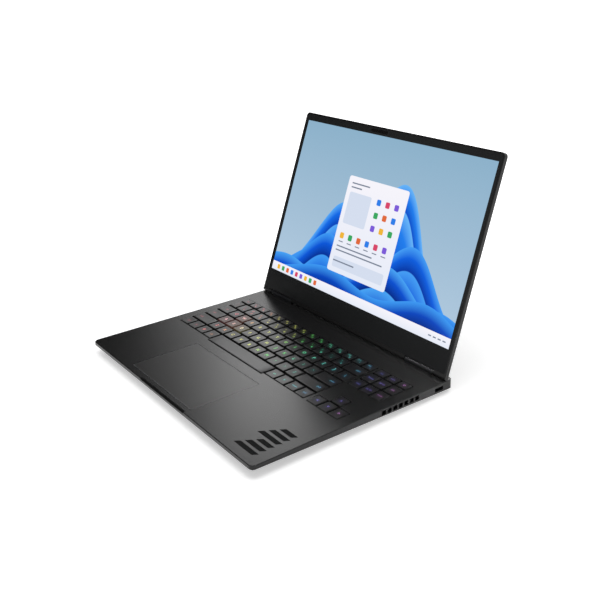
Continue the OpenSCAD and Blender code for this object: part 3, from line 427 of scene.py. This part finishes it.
def circuit_laminate(name, dark, light):
    """Glass-fibre board under solder mask: fine copper lines show as a darker and lighter net."""
    made, tree, shader = material(name, Roughness=0.38, IOR=1.5)
    lines = add(tree, "ShaderNodeTexBrick", {"Vector": object_mm(tree), "Scale": 0.35, "Mortar Size": 0.12,
                                             "Color1": linear(dark), "Color2": linear(light),
                                             "Mortar": linear(dark)})
    tree.links.new(lines.outputs["Color"], shader.inputs["Base Color"])
    return made


# ---------------------------------------------------------------- keys

# a cap's wall, skirt beyond its top, lip at the skirt's foot, rounded edge and corner in plan
CAP_WALL = 1.1 * MM
SKIRT = 0.3 * MM
LIP = 0.15 * MM
CAP_EDGE = 0.35 * MM
CAP_CORNER = 1.0 * MM
SKIRT_TOP = CAP_TOP - 1.2 * MM
SKIRT_BOTTOM = CAP_TOP - 2.5 * MM
STEM_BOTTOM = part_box("enter_key")[0].z
STEM_TOP = CAP_TOP - 1.0 * MM
STEM_RADIUS = 2.2 * MM
STEM_SIDES = 12
DISH = 0.18 * MM


def intervals(pairs, slack=0.5 * MM):
    """Merges overlapping (low, high) pairs."""
    merged = []
    for low, high in sorted(pairs):
        if merged and low <= merged[-1][1] + slack:
            merged[-1][1] = max(merged[-1][1], high)
        else:
            merged.append([low, high])
    return merged


def caps_of(node):
    """The flat tops of a key node as (x0, y0, x1, y1) boxes, by rows from the back, each from the left."""
    mesh = NODES[node].data
    co = np.array([v.co for v in mesh.vertices])
    tops = [co[list(p.vertices)] for p in mesh.polygons if co[list(p.vertices), 2].min() > CAP_TOP - 1e-5]
    boxes = []
    for y0, y1 in reversed(intervals([(t[:, 1].min(), t[:, 1].max()) for t in tops])):
        row = [t for t in tops if y0 - 1e-6 <= t[:, 1].min() <= y1]
        boxes += [(x0, y0, x1, y1) for x0, x1 in intervals([(t[:, 0].min(), t[:, 0].max()) for t in row])]
    return boxes


def cap_height(x, y, box):
    """Height of a cap's dished top: a shallow bowl that falls with the squared distance from the edge."""
    u = np.clip((2 * x - box[0] - box[2]) / (box[2] - box[0]), -1, 1)
    v = np.clip((2 * y - box[1] - box[3]) / (box[3] - box[1]), -1, 1)
    return CAP_TOP - DISH * (1 - np.maximum(u ** 2, v ** 2))


def cap_surface(box, focus):
    """A cap as rings of a rounded rectangle: the inner wall, the skirt, a rounded edge and a dished top.
    Its UV is the distance from the legend's place in centimetres."""
    x0, y0, x1, y1 = box
    turn = np.linspace(0, math.pi / 2, 4)
    profile = [(CAP_WALL, CAP_TOP - CAP_WALL), (CAP_WALL, SKIRT_BOTTOM), (-SKIRT + LIP, SKIRT_BOTTOM),
               (-SKIRT, SKIRT_BOTTOM + LIP), (-SKIRT, SKIRT_TOP)]
    profile += [(CAP_EDGE * (1 - math.cos(a)), CAP_TOP - CAP_EDGE * (1 - math.sin(a))) for a in turn]
    rings = []
    for inset, z in profile:
        flat = round_outline(x0 + inset, y0 + inset, x1 - inset, y1 - inset, max(CAP_CORNER - inset, SKIRT))
        rings.append(np.column_stack([flat, np.full(len(flat), z)]))
    middle = np.array([(x0 + x1) / 2, (y0 + y1) / 2])
    rim = rings[-1][:, :2]
    for share in (0.8, 0.55, 0.3, 0.08):
        inner = middle + (rim - middle) * share
        rings.append(np.column_stack([inner, cap_height(inner[:, 0], inner[:, 1], box)]))
    verts, faces = ringed(rings)
    stem = np.linspace(0, 2 * math.pi, STEM_SIDES, endpoint=False)
    circle = middle + STEM_RADIUS * np.column_stack([np.cos(stem), np.sin(stem)])
    post = ringed([np.column_stack([circle, np.full(STEM_SIDES, z)]) for z in (STEM_BOTTOM, STEM_TOP)])
    away = (verts[:, :2] - focus) / (10 * MM)
    return joined([(verts, faces, away), (*post, np.full((2 * STEM_SIDES, 2), 9.0))])


_glyphs = {}


def glyph(text):
    """A word as flat (verts, faces), one unit high for a capital, centred on its own box."""
    if text not in _glyphs:
        data = bpy.data.curves.new("legend", "FONT")
        data.body = text
        data.resolution_u = 3
        holder = bpy.data.objects.new("legend", data)
        bpy.context.scene.collection.objects.link(holder)
        bpy.context.view_layer.update()
        mesh = bpy.data.meshes.new_from_object(holder.evaluated_get(bpy.context.evaluated_depsgraph_get()))
        co = np.array([v.co[:2] for v in mesh.vertices])
        faces = [list(p.vertices) for p in mesh.polygons]
        bpy.data.objects.remove(holder)
        bpy.data.curves.remove(data)
        bpy.data.meshes.remove(mesh)
        _glyphs[text] = (co - (co.min(0) + co.max(0)) / 2) / 0.69, faces
    return _glyphs[text]


def word(text, x, y, height, box, lift=0.02 * MM):
    """A legend laid on a cap's dished top, facing up."""
    flat, faces = glyph(text)
    wide = np.ptp(flat[:, 0]) * height
    room = (box[2] - box[0]) * 0.8
    height *= min(1.0, room / wide)
    px, py = x + flat[:, 0] * height, y + flat[:, 1] * height
    return np.column_stack([px, py, cap_height(px, py, box) + lift]), faces


# legends of each key node, from the left; a pair is (upper mark, lower mark)
LEGENDS = {
    "escape_key": ["esc"],
    "function_keys": [("f%d" % i, "o") for i in range(1, 13)] + [("prt", "-"), ("del", "-")],
    "number_keys": list(zip("~!@#$%^&*()_+", "`1234567890-=")),
    "backspace_key": ["back"],
    "tab_key": ["tab"],
    "upper_letter_keys": list("QWERTYUIOP[]\\"),
    "caps_lock_key": ["caps"],
    "home_letter_keys": list("ASDFGHJKL;'"),
    "enter_key": ["enter"],
    "left_shift_key": ["shift"],
    "lower_letter_keys": list("ZXCVBNM,./"),
    "right_shift_key": ["shift"],
    "left_modifier_keys": ["ctrl", "fn", "#", "alt"],
    "right_modifier_keys": ["alt", "fn", "menu", "ctrl"],
    "navigation_keys": ["ins", "num", "home", "pg up", "calc", "end", "pg dn", "mute"],
    "power_key": ["o"],
    "arrow_up_key": ["^"],
    "arrow_down_key": ["v"],
    "arrow_left_key": ["<"],
    "arrow_right_key": [">"],
    "space_bar": [],
}
# heights of a letter, a word and the two marks of a key that has a pair
LETTER_H = 4.2 * MM
WORD_H = 2.6 * MM
UPPER_MARK_H = 2.7 * MM
LOWER_MARK_H = 3.1 * MM
# from a wide key's outer end to the middle of its word
WORD_INSET = 8 * MM
# a place for the legend of a key that has none, far from every cap
NOWHERE = np.array([9.0, 9.0])
STEERING = {("upper_letter_keys", 1), ("home_letter_keys", 0), ("home_letter_keys", 1), ("home_letter_keys", 2)}
WIDE_KEY = 22 * MM


def make_keys():
    coat = key_coat("abs_key_cap_satin_with_painted_shade_sides")
    clear = clear_key_coat("frosted_clear_abs_key_cap")
    legend = lit_legend("laser_cut_legend_back_lit", 1.5, 0.08)
    faint = lit_legend("laser_cut_word_back_lit", 0.9, 0.08)
    bright = lit_legend("laser_cut_steering_legend_back_lit", 2.0, 0.35)
    for node, words in LEGENDS.items():
        body = BODY_OF[node]
        plain, clear_caps, letters, small, steering = [], [], [], [], []
        for i, box in enumerate(caps_of(node)):
            x, y = (box[0] + box[2]) / 2, (box[1] + box[3]) / 2
            mark = words[i] if i < len(words) else None
            if isinstance(mark, tuple):
                deep = box[3] - box[1]
                small.append(word(mark[0], x - 2.2 * MM, y + 0.2 * deep, UPPER_MARK_H, box))
                letters.append(word(mark[1], x + 2.4 * MM, y - 0.17 * deep, LOWER_MARK_H, box))
            elif mark and len(mark) == 1:
                group = steering if (node, i) in STEERING else letters
                group.append(word(mark, x, y + 0.5 * MM, LETTER_H, box))
            elif mark:
                if box[2] - box[0] > WIDE_KEY:
                    x = box[2] - WORD_INSET if x > 0 else box[0] + WORD_INSET
                small.append(word(mark, x, y, WORD_H, box))
            group = clear_caps if (node, i) in STEERING else plain
            group.append(cap_surface(box, np.array([x, y]) if mark else NOWHERE))
        tag = node.replace("_keys", "").replace("_key", "")
        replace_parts(piece(tag + "_caps", body, "key_plastic", coat, *joined(plain)), node)
        if clear_caps:
            piece(tag + "_clear_caps", body, "key_plastic", clear, *joined(clear_caps))
        for group, kind, made in ((letters, "_letters", legend), (small, "_words", faint),
                                  (steering, "_steering_letters", bright)):
            if group:
                piece(tag + kind, body, "key_plastic", made, *joined(group), smooth=False)


# ---------------------------------------------------------------- picture on the display

PICTURE_W = 344.7 * MM
PICTURE_H = 215.4 * MM
PICTURE_FOOT = 31.3 * MM
FILM = lid_box("display_panel")[1][2]
LAYER = 0.03 * MM


def picture_place(points, layer):
    """Picture coordinates, 0 to 1 across and up, to the row frame; layers lie LAYER apart on the panel."""
    points = np.asarray(points, float)
    return on_lid(np.column_stack([(points[:, 0] - 0.5) * PICTURE_W, PICTURE_FOOT + points[:, 1] * PICTURE_H,
                                   np.full(len(points), FILM + (layer + 1) * LAYER)]))


def picture_patch(x0, y0, x1, y1, layer, radius_mm=0.05):
    """A rounded rectangle of the picture: its outline is worked out in metres, where the corners are round.
    V runs from 0 at its foot to 1 at its top."""
    size = np.array([PICTURE_W, PICTURE_H])
    flat = round_outline(x0 * size[0], y0 * size[1], x1 * size[0], y1 * size[1], radius_mm * MM) / size
    v = (flat[:, 1] - y0) / (y1 - y0)
    return picture_place(flat, layer), [list(range(len(flat)))], np.column_stack([flat[:, 0], v])


def dune(crests, layer):
    """One dune of the picture, from behind the bar up to its ridge. The ridge is a sum of bell curves
    height * exp(-((x - centre) / spread) ** 2) on a low foot, and V is the depth under the ridge over FOLD."""
    x, up = np.linspace(0, 1, 140), np.linspace(0, 1, 24)
    ridge = 0.02 + sum(height * np.exp(-((x - centre) / spread) ** 2) for centre, spread, height in crests)
    y = ridge * up[:, None]
    grid = np.stack([np.broadcast_to(x, y.shape), y], -1)
    uv = np.stack([grid[..., 0], (ridge - y) / FOLD], -1)
    return picture_place(grid.reshape(-1, 2), layer), grid_faces(len(up), len(x)), uv.reshape(-1, 2)


BAR_TOP = 0.055
FOLD = 0.5
# bell curves (centre, spread, height) of each dune as shares of the picture, from the far one to the near one,
# then its rim, face and shade colours
DUNES = [([(0.63, 0.20, 0.74), (0.20, 0.20, 0.10)], "#6ab8fb", "#2380f0", "#0d50cc"),
         ([(0.34, 0.17, 0.54), (0.84, 0.14, 0.22)], "#56acfa", "#156cea", "#0845bc"),
         ([(0.74, 0.19, 0.42), (0.22, 0.15, 0.20)], "#46a0f8", "#0f60e0", "#0538a6"),
         ([(0.30, 0.17, 0.33), (0.92, 0.20, 0.14)], "#3f9cf7", "#0c58da", "#053298"),
         ([(0.64, 0.22, 0.27), (0.08, 0.20, 0.11)], "#4aa6f8", "#0b52d2", "#042c8a"),
         ([(0.86, 0.20, 0.15), (0.34, 0.24, 0.13)], "#3f9cf6", "#0a48c0", "#032474")]


def fold_stops(rim, face, shade):
    """A dune's colours down from its ridge: two pale rims, each of which fades into the face, then the shade."""
    return [(0.0, rim), (0.13, face), (0.27, shade), (0.28, rim), (0.50, face), (1.0, shade)]


def shown(name, made, *parts):
    """A layer of the picture. The deck doesn't mirror it: its reflection shows the display switched off."""
    made_object = piece("picture_" + name, "lid", "display_film", made, *joined(parts), smooth=False)
    made_object.visible_glossy = False


# layers over the sky and the dunes; places are (x0, y0, x1, y1) as shares of the picture's width and height
SHEET_LAYER, TILE_LAYER, LINE_LAYER = 7, 8, 9
SHEET = (0.33, 0.14, 0.655, 0.73)
PALE_BLOCKS = [(0.352, 0.44, 0.475, 0.635), (0.352, 0.17, 0.633, 0.235)]
TILE_TONES = ["#2f7fe8", "#e06a3c", "#3aa860", "#f0b63a", "#7c5ad8", "#d8466a"]


def tile_places():
    """x, y, width, height, corner radius in mm and number of the tone of each coloured tile: a block of three by
    three and a row of six on the card, and nine small ones in the bar."""
    block = [(0.506 + i * 0.047, 0.60 - j * 0.078, 0.022, 0.036, 1.6, i * 5 + j * 2)
             for j in range(3) for i in range(3)]
    row = [(0.356 + i * 0.0475, 0.347, 0.022, 0.036, 1.6, i * 5 + 3) for i in range(6)]
    small = [(0.035 + i * 0.03, 0.013, 0.017, 0.029, 1.2, i * 5 + 3) for i in range(9)]
    return block + row + small


def line_places():
    """x, y, width, height and layer of each grey line: five on the card, one under each tile of its row, and four at
    the right end of the bar."""
    long = [(0.352, y, wide, 0.008, LINE_LAYER)
            for y, wide in ((0.685, 0.10), (0.66, 0.06), (0.295, 0.20), (0.27, 0.26), (0.205, 0.12))]
    under = [(0.356 + i * 0.0475, 0.325, 0.025, 0.006, TILE_LAYER) for i in range(6)]
    end = [(0.90 + i * 0.022, 0.024, 0.014, 0.007, TILE_LAYER) for i in range(4)]
    return long + under + end


def make_picture():
    """A made-up picture: blue dunes under a pale sky, a white card of plain tiles and a bar along the foot."""
    sky = glowing("liquid_crystal_panel_sky", [(0.0, "#b4cde2"), (0.45, "#a4c1d8"), (1.0, "#8fb4cd")], 0.97)
    shown("sky", sky, picture_patch(0.0, 0.0, 1.0, 1.0, 0))
    for i, (crests, *tones) in enumerate(DUNES):
        made = glowing("liquid_crystal_panel_dune_%d" % i, fold_stops(*tones), 0.97)
        shown("dune_%d" % i, made, dune(crests, 1 + i))
    paper = glowing("liquid_crystal_panel_white", [(0.0, "#e7ecf8"), (1.0, "#f6f4fb")], 1.0)
    shown("sheets", paper, picture_patch(0.0, 0.0, 1.0, BAR_TOP, SHEET_LAYER),
          picture_patch(*SHEET, SHEET_LAYER, 3.5))
    shade = glowing("liquid_crystal_panel_pale_blue", colour="#d5deef")
    shown("cards", shade, *[picture_patch(*place, TILE_LAYER, 2.5) for place in PALE_BLOCKS])
    tiles = {tone: [] for tone in TILE_TONES}
    for x, y, wide, high, radius_mm, pick in tile_places():
        tone = TILE_TONES[pick % len(TILE_TONES)]
        tiles[tone].append(picture_patch(x, y, x + wide, y + high, TILE_LAYER, radius_mm))
    for i, tone in enumerate(TILE_TONES):
        shown("tiles_%d" % i, glowing("liquid_crystal_panel_tile_%d" % i, colour=tone), *tiles[tone])
    ink = glowing("liquid_crystal_panel_grey", colour="#7a8496")
    shown("lines", ink, *[picture_patch(x, y, x + wide, y + high, layer) for x, y, wide, high, layer in line_places()])


# ---------------------------------------------------------------- trim

EMBLEM_X = 149.0 * MM
EMBLEM_Y = FRONT_Y + 39.5 * MM
PRINT_LIFT = 0.02 * MM
PAD_CORNER = 1.7 * MM


def bar(points, z):
    """A flat polygon that faces up."""
    points = np.asarray(points, float)
    return np.column_stack([points, np.full(len(points), z)]), [list(range(len(points)))]


def make_emblem():
    """A plain block of slanted bars, printed matt on the right palm rest."""
    made, tree, shader = material("matt_black_screen_print", Roughness=0.6, IOR=1.5, Specular_IOR_Level=0.08)
    grain(tree, shader, 0.6, 0.002, ("#040404", "#080808"))
    half_w, half_h, end, lean, step = 19.5 * MM, 28 * MM, 12.5 * MM, 4 * MM, 6 * MM
    count, filled = 6, 0.62
    pitch = 2 * half_h / count
    bars = []
    for i in range(count):
        low = -half_h + i * pitch
        high = low + pitch * filled
        start = -half_w + (i % 3) * step
        shape = [(start, low), (end, low), (end + lean, high), (start + lean, high)]
        bars.append(bar([(EMBLEM_X + x, EMBLEM_Y + y) for x, y in shape], DECK_Z + PRINT_LIFT))
    piece("palm_rest_bars", "base", "deck_coat", made, *joined(bars), smooth=False)


def make_touchpad_edge():
    """A narrow bright chamfer round the touchpad: five rings of its rounded outline, each with its inset and its
    drop below the pad in mm."""
    made = sheet_metal("touchpad_edge_turned_aluminium", "#6a6b6d", "#808184", 0.3)
    low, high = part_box("touchpad")
    rings = []
    for inset, drop in ((0.0, 0.35), (0.0, 0.12), (0.12, 0.0), (0.45, -0.02), (0.45, 0.3)):
        flat = round_outline(low.x + inset * MM, low.y + inset * MM, high.x - inset * MM, high.y - inset * MM,
                             PAD_CORNER, 6)
        rings.append(np.column_stack([flat, np.full(len(flat), high.z - drop * MM)]))
    piece("touchpad_edge", "touchpad", "pad_film", made, *ringed(rings, closed=False))


def dress_frame():
    deck = coated_aluminium("blasted_aluminium_coated_dark_grey", "#141414", "#1a1a1a", 0.27)
    cover = coated_aluminium("blasted_aluminium_coated_black", "#101112", "#151618", 0.42)
    dress(["top_case", "lid_cover"], deck)
    dress(["bottom_cover"], cover)
    dress(["touchpad"], matt_skin("etched_glass_pad_dark_grey", "#151515", "#1a1a1a", 0.30, 0.3, 0.002))
    dress(["front_foot", "rear_foot"], matt_skin("moulded_rubber", "#0d0d0d", "#141414", 0.75, 0.8, 0.03, 0.3))
    dress(["keyboard_plate"], matt_skin("steel_plate_painted_matt_black", "#040404", "#080808", 0.6))
    dress(["display_bezel"], matt_skin("moulded_abs_bezel", "#0e0f10", "#131415", 0.48, 0.5, 0.015, 0.2))
    dress(["display_panel"], matt_skin("display_frame_black", "#060607", "#0a0a0c", 0.3))
    dress(["camera_module"], matt_skin("smoked_acrylic_window", "#0e0c0c", "#121010", 0.25, 2.0, 0.0, 0.35))
    dress(["left_hinge_bracket", "right_hinge_bracket", "left_hinge_arm", "right_hinge_arm"],
          matt_skin("cast_zinc_painted_black", "#17181a", "#1e1f21", 0.33, 0.5, 0.005))
    dress(["touchpad_bracket"], sheet_metal("stamped_steel_brushed", "#6c6d70", "#85868a", 0.35))
    dress(["cover_screws"], sheet_metal("steel_screws_blackened", "#202123", "#303134", 0.4))
    dress(["circuit_boards"], circuit_laminate("solder_masked_board_green", "#0c2a1b", "#12402a"))
    dress(["memory_modules", "storage_drive", "wireless_card"],
          circuit_laminate("solder_masked_card_black", "#101417", "#1a2326"))
    dress(["chip_packages"], matt_skin("epoxy_chip_package", "#141416", "#1c1c1f", 0.35))
    dress(["heat_pipe"], sheet_metal("flattened_copper_pipe", "#9a5a3c", "#b87452", 0.3))
    dress(["left_fin_stack", "right_fin_stack"], sheet_metal("thin_copper_fins", "#8a5036", "#b06a48", 0.35))
    dress(["left_fan_housing", "right_fan_housing", "left_fan_rotor", "right_fan_rotor"],
          matt_skin("moulded_nylon_black", "#0e0f10", "#17181a", 0.5))
    dress(["battery_pack"], matt_skin("wrapped_cells_black", "#101113", "#18191c", 0.4, 3.0, 0.05))
    dress(["left_speaker", "right_speaker"], matt_skin("moulded_abs_speaker", "#0c0c0d", "#141416", 0.6))
    dress(["right_usb_socket", "left_usb_socket", "video_socket", "small_usb_sockets"],
          sheet_metal("stamped_steel_nickel_plated", "#8f9094", "#a9aaae", 0.25))
    dress(["power_inlet", "audio_jack"], matt_skin("moulded_nylon_socket", "#0a0a0b", "#111113", 0.45))
    dress(["display_cable"], matt_skin("polyimide_ribbon", "#2c1f10", "#3a2a16", 0.35))


make_camera()
make_studio()
dress_frame()
make_keys()
make_picture()
make_emblem()
make_touchpad_edge()
